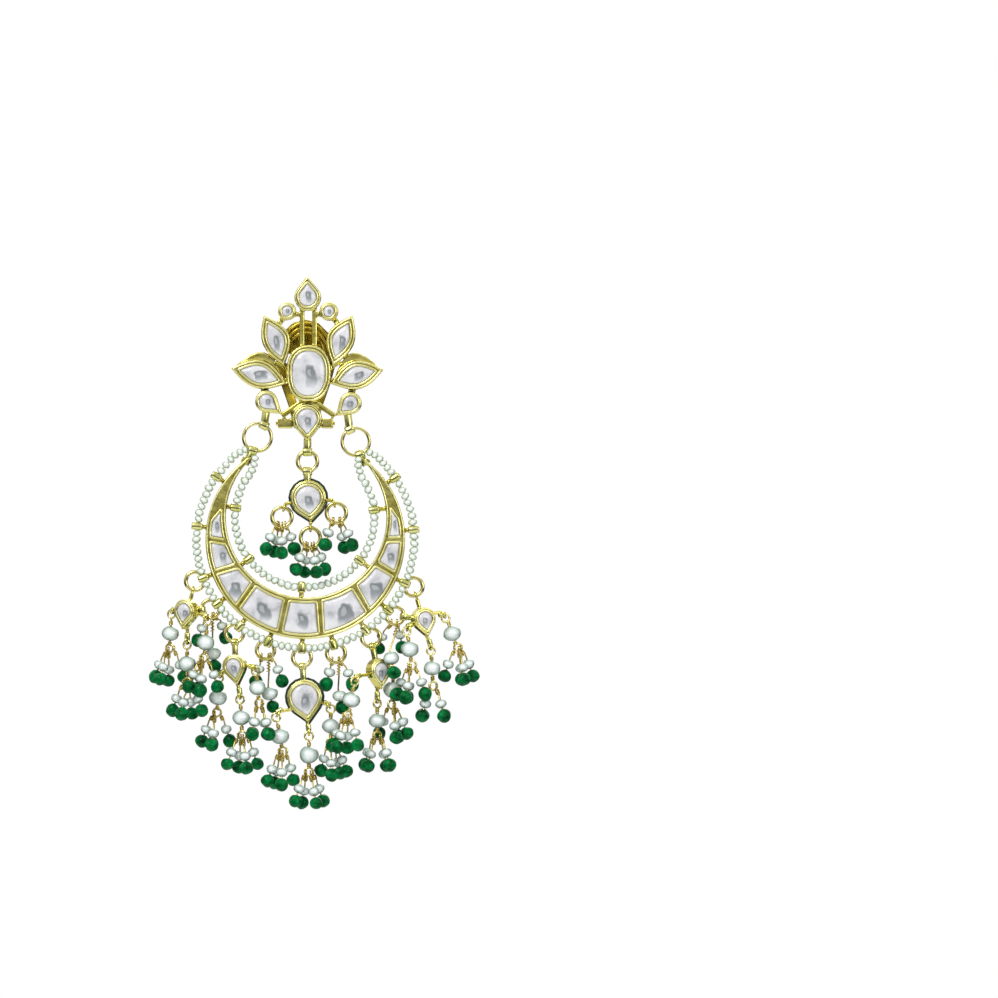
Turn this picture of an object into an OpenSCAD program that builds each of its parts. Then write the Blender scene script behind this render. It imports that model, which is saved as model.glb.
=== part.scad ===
/* [Crown] */
// Height of the raised bezels, front to back
bezel_h = 2.2; // [1.8:0.1:2.6]
// Width of a bezel wall seen from the front
rim = 0.82; // [0.6:0.02:0.9]
// Depth of a stone's seat
seat_depth = 1.1; // [0.9:0.05:1.3]
// Half width of the centre oval
oval_half_w = 3.78; // [3.6:0.02:3.9]
// Half height of the centre oval
oval_half_h = 4.8; // [4.6:0.02:4.9]

/* [Crescent] */
// Radius of the crescent's outer edge
crescent_r = 16.94; // [16.7:0.02:17.1]
// Radius of the crescent's inner edge
window_r = 13.64; // [13.5:0.02:13.8]
// Width of the bars between the stones
divider_w = 1.0; // [0.8:0.05:1.2]
// Radius of the outer strand's circle
outer_strand_r = 18.5; // [18.4:0.02:18.7]
// Radius of the inner strand's circle
inner_strand_r = 11.85; // [11.7:0.02:12.0]

/* [Clip] */
// Clear space for the ear lobe
lobe_gap = 4.7; // [4.4:0.1:5.2]
// Radius of the ear post
post_r = 0.42; // [0.38:0.01:0.5]
// Length of the ear post behind the crown
post_len = 10; // [9:0.5:11]

/* [Beads] */
// Radius of the small pearls in the sprays
seed_r = 0.88; // [0.8:0.01:0.9]
// Radius of the green beads
green_r = 1.05; // [0.95:0.01:1.06]
// Radius of the drilled holes
bore_r = 0.3; // [0.28:0.01:0.32]
// Radius of the bead wire
wire_r = 0.18; // [0.16:0.01:0.19]
// Clear space between beads on one wire
bead_gap = 0.12; // [0.1:0.01:0.2]
// Radius of the threaded pearl strands
strand_r = 0.6; // [0.5:0.02:0.6]

/* [Hidden] */
$fn = 64;
stone_gap = 0.06;
stone_sides = 16;
table_share = 0.52;
girdle_h = 0.4;
frame_back = 0;
frame_front = -bezel_h;
seat_floor = frame_front + seat_depth;
stone_front = frame_front - 0.35;
hang_y = -0.75;
strand_y = -1.72;
bail_hole_r = 0.46;
bail_wall = 0.3;
bail_w = 1.1;
drop_y = -1.1;

// Crown petals: tip, other tip, bulge to the left of that line, bulge to its right
PETAL_TIP = 0;
PETAL_ROOT = 1;
PETAL_LEFT = 2;
PETAL_RIGHT = 3;
petals = [
    [[-7.56, 9.86], [-4.1, 1.3], 2.75, 2.0],
    [[7.51, 9.86], [4.15, 1.3], 2.0, 2.75],
    [[-13.14, 0.91], [-3.7, -1.75], 2.7, 2.15],
    [[12.78, 0.65], [3.8, -1.75], 2.15, 2.7],
];
// The lower back edge of each side petal, which shows above it
petal_backs = [
    [[-12.8, 0.95], [-4.1, -1.3], 3.9, 1.6],
    [[12.45, 0.7], [4.2, -1.3], 1.6, 3.9],
];

// Crown pears: centre of the round end, its radius, tip
PEAR_MID = 0;
PEAR_R = 1;
PEAR_TIP = 2;
crown_pears = [
    [[-0.1, 12.9], 2.28, [-0.19, 16.48]],
    [[-7.13, -4.75], 1.9, [-4.5, -6.9]],
    [[7.18, -5.05], 1.9, [4.7, -7.2]],
    [[-0.2, -7.75], 2.54, [-0.1, -11.6]],
];
crown_rounds = [[[-3.6, 10.56], 1.55], [[3.5, 10.51], 1.6]];

// Jump rings that carry the crescent: centre and radius of the wire's middle line
RING_MID = 0;
RING_R = 1;
ring_wire = 0.24;
hang_rings = [[[-8.65, -10.85], 2.36], [[8.05, -11.6], 2.32]];
drop_ring_at = [[-0.15, -14.94], 1.67];
// Where bails hold the rings, as angles from straight down, towards +X positive
crown_bail_at = [151, -154];
// Way and length of the crown bails' necks
crown_necks = [[172, 2.7], [188, 3.0]];
crescent_bail_at = [-19.5, 18.8];

crescent_mid = [-0.51, -28.18];
window_mid = [-0.39, -24.44];
crescent_cut_z = -14.3;
crescent_tip_at = [-141, 140.5];
// Ends of the bars between crescent stones, angles about the two circles
bar_outer = [-103, -90, -69.7, -45, -15.4, 9.7, 41.4, 68.6, 90, 104];
bar_inner = [-97, -73.3, -55, -37.9, -13.1, 9, 34.8, 56.7, 74.6, 98];
strand_mid = [-0.6, -24.45];
outer_pegs = [-125.3, -97, -69.3, -53.8, -37, -19.8, -1.7, 15, 33.7, 49.6, 66.3, 95.2, 124.5];
inner_pegs = [-98, -53.3, -2.6, 52, 96.2];
strand_ends = [139, 136];
peg_r = 0.62;
peg_len = 1.1;
peg_out = 0.85;
thread_r = 0.2;
peg_bore_r = 0.38;

// Fringe pendants: peg, ring radius, pear centre, pear radius, tip, turn about the vertical
HUNG_PEG = 0;
HUNG_RING_R = 1;
HUNG_MID = 2;
HUNG_R = 3;
HUNG_TIP = 4;
HUNG_TURN = 5;
pendants = [
    [2, 1.56, [-20.5, -40.3], 1.98, [-20.9, -43.5], -28],
    [4, 1.5, [-12.4, -49.7], 2.0, [-11.8, -53.0], -14],
    [6, 1.56, [-0.63, -55.0], 3.0, [0.1, -59.2], 0],
    [8, 1.56, [11.7, -50.4], 2.0, [11.8, -53.7], 32],
    [10, 1.56, [19.4, -41.7], 1.98, [20.0, -44.7], 20],
];
pendant_front = -1.25;
pendant_back = 0.55;
pendant_floor = -0.45;
centre_pendant = 2;

// Azimuths of the four pins of a spray, from +X towards the back: for chains on the left, below
// and on the right of their pendant, so that no pin points at the pendant's middle chain, and a
// close one between two pearls
fans = [[50, 125, 185, 265], [0, 90, 180, 270], [130, 55, -5, -85], [132, 74, -36, -101]];

// Fringe chains: pendant, top eye, pearl, pearl radius, drop from pearl to spray, fan, its turn
CHAIN_OF = 0;
CHAIN_EYE = 1;
CHAIN_PEARL = 2;
CHAIN_R = 3;
CHAIN_DROP = 4;
CHAIN_FAN = 5;
CHAIN_TURN = 6;
chains = [
    [0, [-23.3, -40.9], [-23.5, -44.2], 1.45, 4.0, 0, 0],
    [0, [-20.6, -46.1], [-20.6, -49.3], 1.38, 4.6, 1, 10],
    [0, [-17.0, -42.0], [-17.4, -45.7], 1.4, 4.1, 2, -130],
    [1, [-15.2, -51.8], [-15.4, -55.1], 1.45, 4.0, 0, 0],
    [1, [-11.6, -55.4], [-11.4, -58.5], 1.45, 4.5, 1, 30],
    [1, [-8.9, -50.6], [-8.6, -53.4], 1.38, 4.1, 3, 0],
    [2, [-5.5, -58.4], [-4.83, -61.65], 1.38, 4.1, 0, 0],
    [2, [0.1, -61.6], [0.1, -64.8], 1.5, 4.4, 1, 28],
    [2, [3.8, -57.0], [3.8, -59.9], 1.4, 4.2, 2, 0],
    [3, [7.9, -52.3], [7.3, -55.4], 1.5, 4.2, 0, 12],
    [3, [11.7, -56.1], [11.7, -59.0], 1.4, 4.0, 1, 22],
    [3, [14.5, -50.8], [14.3, -53.7], 1.45, 4.1, 2, -20],
    [4, [16.7, -43.8], [17.2, -46.8], 1.45, 4.3, 0, 40],
    [4, [20.8, -47.1], [21.0, -50.1], 1.38, 4.5, 1, 24],
    [4, [23.3, -41.6], [24.4, -44.2], 1.45, 4.1, 2, 0],
];

// Sprays that hang straight from rings on the pegs: peg, ring radius, pins
// A pin: azimuth, reach out, reach down, radius of its first bead
PIN_AZ = 0;
PIN_OUT = 1;
PIN_DOWN = 2;
PIN_R = 3;
tassels = [
    [3, 1.5, [[42, 2.6, 1.2, seed_r], [150, 1.7, 1.6, seed_r], [70, 1.3, 5.2, 1.15]]],
    [5, 1.5, [[20, 2.2, 1.5, seed_r], [135, 1.6, 1.5, seed_r], [60, 1.4, 4.9, 1.3]]],
    [7, 1.55, [[20, 2.2, 1.5, seed_r], [135, 1.6, 1.5, seed_r], [60, 1.2, 4.6, 1.15]]],
    [9, 1.5, [[148, 2.6, 1.7, seed_r], [60, 1.7, 1.6, seed_r], [-115, 1.5, 4.8, 1.3]]],
];
spray_out = 1.9;
spray_down = 2.0;
inner_fans = [[40, 120, 190, 270], [24, 114, 204, 294], [-5, 60, 135, 225]];
inner_out = 1.95;
inner_down = 1.5;

inner_drop_mid = [0, -21.2];
inner_drop_r = 3.04;
inner_drop_tip = [0.5, -25.1];
inner_ring_r = 1.67;
inner_rings = [[-4.5, -24.4], [0.35, -27.9], [4.75, -23.7]];

hub_r = 0.62;
knot_r = 0.55;
knot_drop = 0.5;
elbow_r = 0.27;
eye_r = 0.7;
eyelet_r = 0.6;

hinge_y = 1.55;
hinge_z = -8.46;
hinge_x = -0.6;
barrel_r = 0.87;
pin_r = 0.36;
clip_t = 0.9;
clip_strip = 1.55;
// The clip is a solid pad above this height
clip_pad_z = 3.4;
clip_half = [[2.0, -8.9], [2.9, -5.5], [4.3, -1.5], [5.1, 1.5], [4.9, 4.5], [3.9, 7.0], [2.2, 8.7]];
clip_side = [[hinge_y, hinge_z], [4.9, -6.4], [lobe_gap + 0.5, -3.4], [lobe_gap + 0.5, 5.2], [4.2, 9.6]];

// Points and outlines, all seen from the front as [x, z]

function unit(v) = v / norm(v);
function along(c, r, a) = [c[0] + r * sin(a), c[1] - r * cos(a)];
function middle(pts) = [for (k = [0, 1]) (min([for (p = pts) p[k]]) + max([for (p = pts) p[k]])) / 2];
function shrunk(pts, share) = let (m = middle(pts)) [for (p = pts) m + (p - m) * share];

// A closed convex outline, anticlockwise, moved inwards by d
function inset(pts, d) = let (n = len(pts)) [
    for (i = [0:n - 1])
        let (
            before = unit(pts[i] - pts[(i + n - 1) % n]),
            after = unit(pts[(i + 1) % n] - pts[i]),
            n1 = [-before[1], before[0]],
            n2 = [-after[1], after[0]]
        ) pts[i] + d * (n1 + n2) / (1 + n1 * n2)
];

// A leaf with two points, each side a sine arch
function leaf(p, d) =
    let (
        a = p[PETAL_TIP],
        b = p[PETAL_ROOT],
        u = (b - a),
        left = [-unit(u)[1], unit(u)[0]],
        n = 8,
        one = [for (i = [0:n - 1]) a + u * i / n - left * p[PETAL_RIGHT] * sin(180 * i / n)],
        two = [for (i = [0:n - 1]) b - u * i / n + left * p[PETAL_LEFT] * sin(180 * i / n)]
    ) inset(concat(one, two), d);

// A pear: a round end and two straight sides to the tip
function pear(mid, r, tip, d) =
    let (
        axis = tip - mid,
        far = norm(axis),
        face = atan2(axis[1], axis[0]),
        open = acos(r / far),
        n = 14,
        step = (360 - 2 * open) / n,
        round = [for (i = [0:n]) let (a = face + open + i * step) mid + (r - d) * [cos(a), sin(a)]]
    ) concat([mid + axis * (1 - d / r)], round);

function cushion(mid, w, h, n) = [
    for (i = [0:n - 1])
        let (a = 360 * i / n, c = cos(a), s = sin(a))
            mid + [w * sign(c) * pow(abs(c), 0.84), h * sign(s) * pow(abs(s), 0.84)]
];
function disc(mid, r, n) = [for (i = [0:n - 1]) mid + r * [cos(360 * i / n), sin(360 * i / n)]];

// A bay of the crescent between bars i and i + 1, moved in from the rims by d
function bay(i, d) =
    let (
        side = divider_w / 2 + d - rim,
        ao = side * 57.3 / crescent_r,
        ai = side * 57.3 / window_r,
        from_o = bar_outer[i] + ao,
        to_o = bar_outer[i + 1] - ao,
        from_i = bar_inner[i] + ai,
        to_i = bar_inner[i + 1] - ai,
        n = 4,
        low = [for (k = [0:n]) along(crescent_mid, crescent_r - d, from_o + (to_o - from_o) * k / n)],
        high = [for (k = [0:n]) along(window_mid, window_r + d, to_i - (to_i - from_i) * k / n)]
    ) concat(low, high);

crown_outlines = function (d) concat(
    [for (p = petals) leaf(p, d)],
    [for (p = crown_pears) pear(p[PEAR_MID], p[PEAR_R], p[PEAR_TIP], d)],
    [for (p = crown_rounds) disc(p[0], p[1] - d, stone_sides)],
    [cushion([0.05, 0], oval_half_w - d, oval_half_h - d, 24)]
);

// Solids

module slab(pts, y0, y1) {
    translate([0, y1, 0]) rotate([90, 0, 0]) linear_extrude(y1 - y0) polygon(pts);
}

// A flat bar of solder from p to q, set back behind the rims
module tie(p, q, w) {
    side = [p[1] - q[1], q[0] - p[0]] * w / 2 / norm(q - p);
    slab([p + side, q + side, q - side, p - side], -1.75, -0.3);
}

module rod(p, q, r) {
    v = q - p;
    translate(p) rotate([0, acos(v[2] / norm(v)), atan2(v[1], v[0])]) cylinder(h = norm(v), r = r, $fn = 24);
}

// A wire ring seen face on from the front
module jump_ring(mid, y, r, wire) {
    translate([mid[0], y, mid[1]]) rotate([90, 0, 0]) rotate_extrude() translate([r, 0]) circle(wire, $fn = 24);
}

// A small wire loop round a ring's wire, at angle a on that ring
module eyelet(p, y, a, r) {
    translate([p[0], y, p[1]]) rotate([0, -a + 90, 0]) rotate_extrude() translate([r, 0]) circle(wire_r + 0.02, $fn = 24);
}

// A flat strap bent round a ring's wire: hole along the wire, neck towards the metal it hangs from
module bail(mid, y, wire_angle, neck_angle, neck) {
    translate([mid[0], y, mid[1]]) {
        rotate([0, -wire_angle, 0]) rotate([0, 90, 0]) difference() {
            cylinder(h = bail_w, r = bail_hole_r + bail_wall, center = true, $fn = 40);
            cylinder(h = bail_w + 1, r = bail_hole_r, center = true, $fn = 40);
        }
        rotate([0, -neck_angle, 0])
            translate([-bail_w / 2 + 0.05, -0.5, -neck])
                cube([bail_w - 0.1, 1.0, neck - bail_hole_r - 0.12]);
    }
}

// A stone with a flat table, a sloped crown and a straight girdle, seated in its bezel
module stone(pts, floor_y, front_y, girdle_y) {
    n = len(pts);
    rings = [shrunk(pts, 0.9), pts, pts, shrunk(pts, table_share)];
    depth = [floor_y, girdle_y + girdle_h, girdle_y, front_y];
    last = len(rings) - 1;
    points = [for (k = [0:last]) for (p = rings[k]) [p[0], depth[k], p[1]]];
    walls = [
        for (k = [0:last - 1]) for (i = [0:n - 1])
            let (j = (i + 1) % n) [k * n + i, k * n + j, (k + 1) * n + j, (k + 1) * n + i]
    ];
    caps = [[for (i = [n - 1:-1:0]) i], [for (i = [0:n - 1]) last * n + i]];
    polyhedron(points, [for (f = concat(walls, caps)) [for (i = [len(f) - 1:-1:0]) f[i]]], convexity = 4);
}

module seated_stone(pts) {
    color("gainsboro") stone(pts, seat_floor - 0.05, stone_front, frame_front + 0.2);
}

// The middle of a ring whose wire runs through a peg
function peg_ring(i, r) = along(crescent_mid, outer_strand_r + r, outer_pegs[i]);

// Crown

module hinge_barrel(x0, x1) {
    translate([x0, hinge_y, hinge_z]) rotate([0, 90, 0]) cylinder(h = x1 - x0, r = barrel_r);
}

module crown_frame() {
    color("gold") difference() {
        union() {
            for (o = crown_outlines(0)) slab(o, frame_front, frame_back);
            for (o = petal_backs) slab(leaf(o, 0), -1.15, -0.12);
            for (s = [-1, 1]) {
                tie([s * 1.05, 4.3], [s * 1.05, 11.0], 0.8);
                tie([s * 0.8, 10.0], [s * 2.9, 10.0], 0.75);
                tie([s * 4.5, -7.25], [s * 0.6, -4.5], 0.9);
                tie([s * 7.6, -1.4], [s * 7.3, -3.9], 1.2);
                tie([s * 5.3, 2.2], [s * 2.9, 0.4], 1.0);
                tie([s * 5.6, -1.4], [s * 3.0, -1.2], 0.9);
                tie([s * 3.9, 9.8], [s * 5.7, 7.6], 0.9);
            }
            tie([-0.1, -4.0], [-0.1, -6.2], 1.7);
            translate([-5.2, -0.9, hinge_z - 0.7]) cube([9.35, 1.3, 1.5]);
            for (x = [[-5.2, -2.8], [2.2, 4.15]]) {
                hinge_barrel(x[0], x[1]);
                translate([x[0], 0, hinge_z - 0.6]) cube([x[1] - x[0], hinge_y - 0.6, 1.3]);
            }
            for (i = [0, 1]) {
                at = along(hang_rings[i][0], hang_rings[i][1], crown_bail_at[i]);
                bail(at, drop_y, crown_bail_at[i], crown_necks[i][0], crown_necks[i][1]);
            }
            bail(along(drop_ring_at[0], drop_ring_at[1], 180), drop_y, 0, 180, 2.4);
        }
        for (o = crown_outlines(rim)) slab(o, frame_front - 1, seat_floor);
        translate([hinge_x, hinge_y, hinge_z]) rotate([0, 90, 0])
            cylinder(h = 20, r = pin_r + 0.02, center = true);
    }
}

module ear_post() {
    color("gold") {
        rotate([-90, 0, 0]) cylinder(h = post_len - post_r, r = post_r);
        rotate([-90, 0, 0]) cylinder(h = 0.5, r = 1.6);
        translate([0, post_len - post_r, 0]) sphere(post_r + 0.01, $fn = 32);
    }
}

module clip_lever() {
    half = [for (p = clip_half) [hinge_x + p[0], p[1]]];
    other = [for (i = [len(clip_half) - 1:-1:0]) [hinge_x - clip_half[i][0], clip_half[i][1]]];
    ring_outline = concat(half, [[hinge_x, 9.3]], other);
    n = len(clip_side) - 1;
    normals = [
        for (i = [0:n])
            let (
                a = i > 0 ? unit(clip_side[i] - clip_side[i - 1]) : unit(clip_side[1] - clip_side[0]),
                b = i < n ? unit(clip_side[i + 1] - clip_side[i]) : a,
                na = [-a[1], a[0]],
                nb = [-b[1], b[0]]
            ) (na + nb) / (1 + na * nb)
    ];
    band = concat(
        [for (i = [0:n]) clip_side[i] + normals[i] * clip_t / 2],
        [for (i = [n:-1:0]) clip_side[i] - normals[i] * clip_t / 2]
    );
    color("goldenrod") difference() {
        union() {
            intersection() {
                difference() {
                    slab(ring_outline, -1, 12);
                    intersection() {
                        slab(inset(ring_outline, clip_strip), -2, 13);
                        translate([-15, -5, clip_pad_z - 30]) cube([30, 25, 30]);
                    }
                }
                translate([-10, 0, 0]) rotate([90, 0, 90]) linear_extrude(20) polygon(band);
            }
            hinge_barrel(-2.55, 1.95);
        }
        translate([hinge_x, hinge_y, hinge_z]) rotate([0, 90, 0])
            cylinder(h = 20, r = pin_r + 0.06, center = true);
        for (x = [[-5.3, -2.65], [2.05, 4.3]])
            translate([x[0], hinge_y - 1.6, hinge_z - 1.2]) cube([x[1] - x[0], 2.6, 2.4]);
    }
}

module clip_hinge_pin() {
    color("goldenrod") translate([-5.6, hinge_y, hinge_z]) rotate([0, 90, 0]) cylinder(h = 10.05, r = pin_r - 0.02);
}

// Crescent

module peg(mid, root_r, strand_at, a, outward) {
    at = along(mid, strand_at, a);
    from = along(mid, root_r, a);
    difference() {
        union() {
            rod([from[0], -1.23, from[1]], [at[0], -1.23, at[1]], 0.4);
            translate([at[0], hang_y, at[1]]) rotate([0, -a, 0]) rotate([0, 90, 0])
                cylinder(h = peg_len, r = peg_r, center = true, $fn = 32);
            translate([at[0], strand_y, at[1]]) rotate([0, -a, 0])
                cylinder(h = peg_out * 2, r = peg_r, center = true, $fn = 32);
        }
        for (y = [strand_y, hang_y])
            translate([at[0], y, at[1]]) rotate([0, -a, 0]) rotate([0, 90, 0])
                cylinder(h = peg_len + 1, r = peg_bore_r, center = true, $fn = 32);
    }
}

module crescent_frame() {
    color("gold") {
        difference() {
            union() {
                translate([0, frame_back, 0]) rotate([90, 0, 0]) linear_extrude(bezel_h) intersection() {
                    difference() {
                        translate(crescent_mid) circle(crescent_r, $fn = 120);
                        translate(window_mid) circle(window_r, $fn = 120);
                    }
                    translate([-20, -50]) square([40, 50 + crescent_cut_z]);
                }
            }
            for (i = [0:8]) slab(bay(i, rim), frame_front - 1, seat_floor);
        }
        for (a = outer_pegs) peg(crescent_mid, crescent_r - 0.4, outer_strand_r, a);
        for (a = inner_pegs)
            peg(strand_mid, window_r + 0.35, inner_strand_r, a);
        for (i = [0, 1]) {
            at = along(hang_rings[i][0], hang_rings[i][1], crescent_bail_at[i]);
            tip = along(crescent_mid, crescent_r - 0.45, crescent_tip_at[i]);
            bail(at, drop_y, crescent_bail_at[i], crescent_bail_at[i] * 1.4, 1.9);
            rod([at[0], drop_y, at[1]] + 0.62 * [tip[0] - at[0], 0, tip[1] - at[1]], [tip[0], drop_y, tip[1]], 0.8);
        }
    }
}

// One threaded strand: full width between pegs and thin where it passes through them
module strand(mid, r, pegs, start, end) {
    slim = 57.3 * (peg_len / 2 + 0.12) / r;
    cone = 57.3 * 0.3 / r;
    stops = concat(
        [[start, strand_r]],
        [
            for (i = [0:len(pegs) - 1])
                let (a = pegs[i], next = i < len(pegs) - 1 ? pegs[i + 1] : end)
                    for (s = [
                        [a - slim - cone, strand_r],
                        [a - slim, thread_r],
                        [a + slim, thread_r],
                        [a + slim + cone, strand_r],
                        [(a + next) / 2, strand_r]
                    ]) s
        ],
        [[end, strand_r]]
    );
    n = len(stops);
    sides = 8;
    points = [
        for (s = stops) for (k = [0:sides - 1])
            let (c = along(mid, r + s[1] * cos(360 * k / sides), s[0]))
                [c[0], strand_y + s[1] * sin(360 * k / sides), c[1]]
    ];
    walls = [
        for (i = [0:n - 2]) for (k = [0:sides - 1])
            let (m = (k + 1) % sides) [i * sides + k, i * sides + m, (i + 1) * sides + m, (i + 1) * sides + k]
    ];
    caps = [[for (k = [sides - 1:-1:0]) k], [for (k = [0:sides - 1]) (n - 1) * sides + k]];
    color("ivory") polyhedron(points, concat(walls, caps), convexity = 6);
}

// Beads, pins and sprays

module bead(p, dir, r) {
    translate(p) rotate([0, acos(dir[2]), atan2(dir[1], dir[0])]) difference() {
        sphere(r, $fn = 32);
        cylinder(h = 3 * r, r = bore_r, center = true, $fn = 16);
    }
}

function pin_way(pin) = unit([0.36 * cos(pin[PIN_AZ]), 0.36 * sin(pin[PIN_AZ]), -0.933]);
function first_bead(pin) =
    [pin[PIN_OUT] * cos(pin[PIN_AZ]), pin[PIN_OUT] * sin(pin[PIN_AZ]), -pin[PIN_DOWN]];
function second_bead(pin) = first_bead(pin) + pin_way(pin) * (pin[PIN_R] + green_r + bead_gap);

function fan_pins(azimuths, out, down) = [for (a = azimuths) [a, out, down, seed_r]];

// what: "wires", "seeds" or "greens"; the spray hangs from the origin, where its loop is lowest
module spray(pins, turn, what) {
    rotate([0, 0, turn]) {
        if (what == "wires") color("goldenrod") {
            rotate([0, 0, -turn]) translate([0, 0, hub_r]) rotate([0, 90, 0])
                rotate_extrude() translate([hub_r, 0]) circle(wire_r, $fn = 24);
            translate([0, 0, -knot_drop]) sphere(knot_r, $fn = 32);
            for (p = pins) {
                bend = first_bead(p) - pin_way(p) * (p[PIN_R] + 0.3);
                stop = second_bead(p) + pin_way(p) * (green_r + 0.3);
                rod([0, 0, -knot_drop], bend, wire_r);
                rod(bend, stop, wire_r);
                translate(bend) sphere(elbow_r, $fn = 24);
                translate(stop) sphere(elbow_r, $fn = 24);
            }
        }
        if (what == "seeds") color("ivory") for (p = pins) bead(first_bead(p), pin_way(p), p[PIN_R]);
        if (what == "greens") color("seagreen") for (p = pins) bead(second_bead(p), pin_way(p), green_r);
    }
}

// Fringe

function pendant_local(k, p) =
    let (mid = pendants[k][HUNG_MID], turn = pendants[k][HUNG_TURN])
        [(p[0] - mid[0]) / cos(turn), p[1] - mid[1]];
function chain_slant(c) =
    let (k = c[CHAIN_OF], e = pendant_local(k, c[CHAIN_EYE]), p = pendant_local(k, c[CHAIN_PEARL]))
        unit(p - e);
function chain_foot(c) =
    let (p = pendant_local(c[CHAIN_OF], c[CHAIN_PEARL]))
        p + chain_slant(c) * (c[CHAIN_DROP] - 1.5);

module on_pendant(k) {
    mid = pendants[k][HUNG_MID];
    translate([mid[0], hang_y, mid[1]]) rotate([0, 0, pendants[k][HUNG_TURN]]) children();
}

// Where a chain hangs from its pendant: the way from the top eye's middle to the loop on the pear
function is_side(c) = pendant_local(c[CHAIN_OF], c[CHAIN_EYE])[1] > pendants[c[CHAIN_OF]][HUNG_TIP][1]
    - pendants[c[CHAIN_OF]][HUNG_MID][1] - 1;
function hook_way(c) = is_side(c) ? [pendant_local(c[CHAIN_OF], c[CHAIN_EYE])[0] > 0 ? -0.6 : 0.6, 0.8] : [0, 1];

module pendant_arms(k, r) {
    tip = pendants[k][HUNG_TIP] - pendants[k][HUNG_MID];
    for (c = chains) if (c[CHAIN_OF] == k) {
        way = hook_way(c);
        start = pendant_local(k, c[CHAIN_EYE]) + way * (eye_r + eyelet_r - 0.04);
        root = is_side(c) ? [start[0] * 0.3, max(start[1] * 0.8, tip[1] * 0.6)] : [0, tip[1] * 0.6];
        rod([start[0], 0, start[1]], [root[0], 0, root[1]], r);
    }
}

// A pear setting with its eyelets: stone seat in front, loops for the ring above and the chains
module pendant_frame(k) {
    row = pendants[k];
    r = row[HUNG_R];
    tip = row[HUNG_TIP] - row[HUNG_MID];
    enamelled = k == centre_pendant;
    ring_mid = peg_ring(row[HUNG_PEG], row[HUNG_RING_R]);
    up = unit(ring_mid - row[HUNG_MID]);
    top = ring_mid - up * row[HUNG_RING_R] - row[HUNG_MID];
    start = top - up * eyelet_r;
    color("gold") {
        on_pendant(k) difference() {
            union() {
                slab(pear([0, 0], r, tip, 0), pendant_front, enamelled ? pendant_floor + 0.3 : pendant_back);
                if (enamelled) slab(pear([0, 0], r, tip, 0.5), pendant_floor, pendant_back);
                pendant_arms(k, 0.3);
                for (c = chains) if (c[CHAIN_OF] == k) {
                    way = hook_way(c);
                    eyelet(pendant_local(k, c[CHAIN_EYE]) + way * eye_r, 0, atan2(way[0], -way[1]), eyelet_r - 0.04);
                }
            }
            slab(pear([0, 0], r, tip, rim), pendant_front - 1, pendant_floor);
        }
        translate([row[HUNG_MID][0], hang_y, row[HUNG_MID][1]]) {
            eyelet(top, 0, atan2(up[0], -up[1]), eyelet_r);
            rod([start[0], 0, start[1]], [up[0], 0, up[1]] * (r - 0.4), 0.34);
        }
    }
}

module pendant_stone(k) {
    row = pendants[k];
    tip = row[HUNG_TIP] - row[HUNG_MID];
    color("gainsboro") on_pendant(k)
        stone(pear([0, 0], row[HUNG_R], tip, rim + stone_gap),
            pendant_floor - 0.05, pendant_front - 0.3, pendant_front + 0.15);
}

module centre_pendant_enamel() {
    row = pendants[centre_pendant];
    tip = row[HUNG_TIP] - row[HUNG_MID];
    up = unit(peg_ring(row[HUNG_PEG], row[HUNG_RING_R]) - row[HUNG_MID]);
    color("darkgreen") on_pendant(centre_pendant) difference() {
        slab(pear([0, 0], row[HUNG_R] + 0.3, tip * (1 + 0.3 / row[HUNG_R]), 0), pendant_floor + 0.38, pendant_back + 0.1);
        slab(pear([0, 0], row[HUNG_R], tip, 0.42), -2, 2);
        pendant_arms(centre_pendant, 0.38);
        rod([0, 0, 0], [up[0], 0, up[1]] * 5, 0.42);
    }
}

module fringe_rings() {
    color("goldenrod") {
        for (row = concat(pendants, tassels)) jump_ring(peg_ring(row[0], row[1]), hang_y, row[1], ring_wire);
    }
}

module eye_pin(c) {
    e = pendant_local(c[CHAIN_OF], c[CHAIN_EYE]);
    way = chain_slant(c);
    foot = chain_foot(c);
    a = e + way * (eye_r - 0.05);
    b = foot - way * (eye_r - 0.05);
    jump_ring(e, 0, eye_r, wire_r);
    jump_ring(foot, 0, eye_r, wire_r);
    rod([a[0], 0, a[1]], [b[0], 0, b[1]], wire_r - 0.02);
}

module fringe_pins() {
    color("goldenrod") for (c = chains) on_pendant(c[CHAIN_OF]) eye_pin(c);
}

module fringe_pearls() {
    color("ivory") for (c = chains) on_pendant(c[CHAIN_OF]) {
        p = pendant_local(c[CHAIN_OF], c[CHAIN_PEARL]);
        way = chain_slant(c);
        bead([p[0], 0, p[1]], [way[0], 0, way[1]], c[CHAIN_R]);
    }
}

module fringe_sprays(left, what) {
    for (c = chains)
        if ((c[CHAIN_PEARL][0] < 0) == left) on_pendant(c[CHAIN_OF]) {
            foot = chain_foot(c);
            translate([foot[0], 0, foot[1] - eye_r - hub_r - 0.1])
                spray(fan_pins(fans[c[CHAIN_FAN]], spray_out, spray_down), c[CHAIN_TURN], what);
        }
    for (t = tassels)
        if ((outer_pegs[t[0]] < 0) == left) {
            mid = peg_ring(t[0], t[1]);
            translate([mid[0], hang_y, mid[1] - t[1] - hub_r - 0.12]) spray(t[2], 0, what);
        }
}

// Inner drop

function inner_hook_angle(i) = 180 + [-14, 0, 14][i];
function inner_hook(i) = along(inner_rings[i], inner_ring_r, inner_hook_angle(i));

module inner_drop_stubs(r) {
    roots = [[-1.6, -21.6], [0.42, -24.0], [1.6, -21.6]];
    for (i = [0:2]) {
        hook = inner_hook(i);
        start = along(hook, eyelet_r, inner_hook_angle(i));
        rod([start[0], drop_y, start[1]], [roots[i][0], drop_y, roots[i][1]], r);
    }
}

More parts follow.
